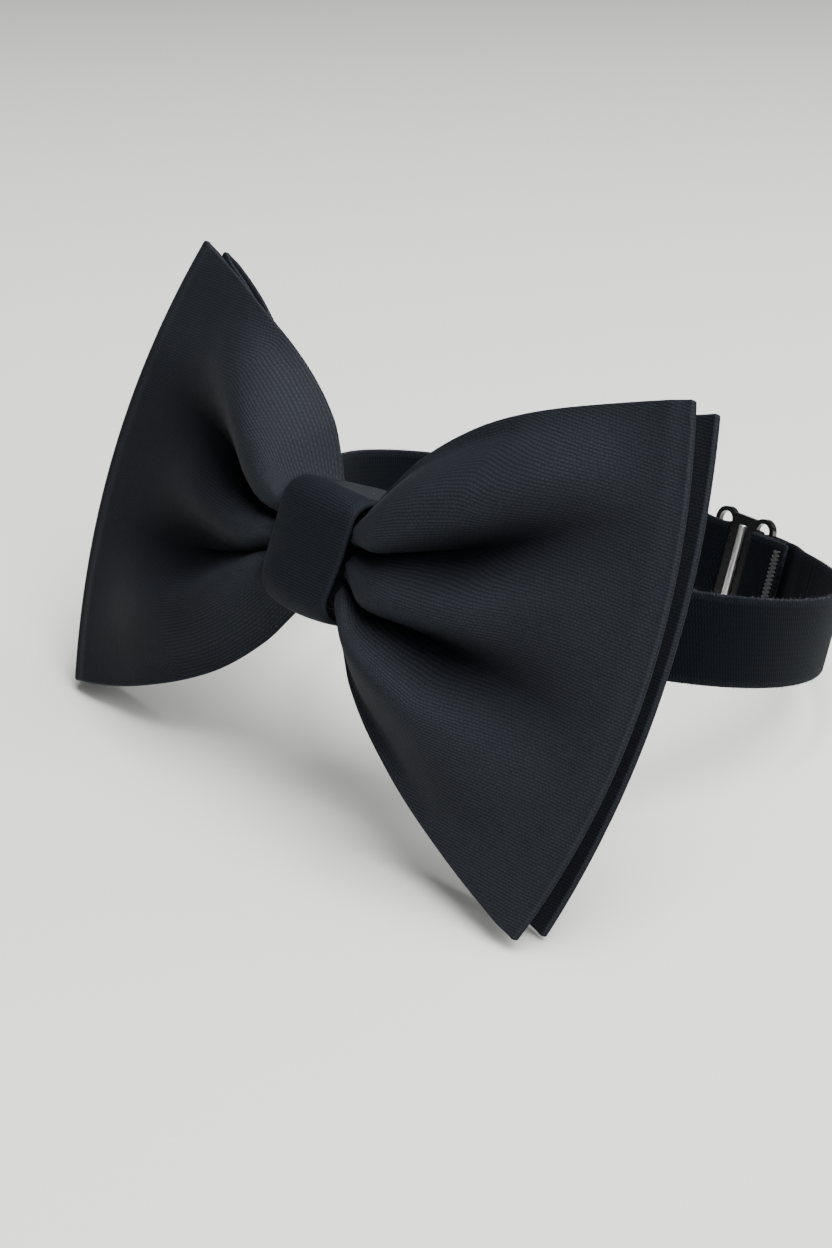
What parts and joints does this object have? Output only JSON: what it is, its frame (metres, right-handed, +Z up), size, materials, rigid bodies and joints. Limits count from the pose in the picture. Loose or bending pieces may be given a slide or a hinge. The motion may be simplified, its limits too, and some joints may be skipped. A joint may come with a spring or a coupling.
{
  "type": "pre-tied bow tie",
  "caption": "Pre-tied bow tie: two folded cloth loops gathered by a knot, on an elastic neckband with a slide adjuster and a hook-and-eye closure.",
  "frame": {"origin": "on the surface the tie stands on, under the middle of its bounding box", "axes": "+Z up; the bow faces -Y and leans back towards +Y; +X runs along the wings towards the hook and eye; the neckband runs back along +Y"},
  "size_m": [0.129, 0.1164, 0.0757],
  "materials": {
    "bow_cloth": "navy-black microfibre twill, fine raised ribs, soft satin sheen",
    "knot_cloth": "same twill with its ribs across the knot, slightly flatter",
    "interlining": "charcoal woven stiffener",
    "elastic": "matte woven elastic, fine lengthwise ribs and fuzzy edges",
    "thread": "black polyester thread",
    "tack_thread": "dark grey thread",
    "black_metal": "gloss black coating over wire and plate",
    "bright_metal": "bright plated bar, lightly rubbed"
  },
  "bodies": {
    "bow": {"front_bow_loop": "bow_cloth", "front_interlining": "interlining", "back_bow_loop": "bow_cloth", "back_interlining": "interlining", "knot_wrap": "knot_cloth", "gathering_thread": "thread", "knot_seam_stitches": "thread", "knot_strap": "elastic"},
    "band": {"long_strap": "elastic", "hook_strap": "elastic", "hook_bar_tack": "tack_thread", "eye_strap": "elastic", "eye_bar_tack": "tack_thread"},
    "slider": {"slider_frame": "black_metal", "slider_bar": "bright_metal", "long_strap_woven_end": "elastic", "hook_strap_sewn_end": "elastic", "stop_bar_tack": "tack_thread"},
    "hook": {"hook": "black_metal"},
    "eye": {"eye": "black_metal"}
  },
  "joints": [
    {"name": "band_tilt", "type": "hinge", "parent": "bow", "child": "band", "pos_m": [0, -0.03291, 0.03665], "axis": [1, 0, 0], "range_deg": [0, 20], "deforming": ["knot_strap", "eye_strap"]},
    {"name": "slider_travel", "type": "hinge", "parent": "band", "child": "slider", "pos_m": [0, 0.01076, 0.02354], "axis": [0, 0.2874, 0.9578], "range_deg": [0, 25], "deforming": ["long_strap_woven_end", "hook_strap_sewn_end", "stop_bar_tack"]},
    {"name": "hook_lift", "type": "hinge", "parent": "band", "child": "hook", "pos_m": [0.03238, -0.02, 0.03277], "axis": [0, -0.2874, -0.9578], "range_deg": [0, 110]},
    {"name": "eye_swing", "type": "hinge", "parent": "band", "child": "eye", "pos_m": [0.0168, -0.02984, 0.03573], "axis": [0, -0.2874, -0.9578], "range_deg": [0, 30]}
  ]
}
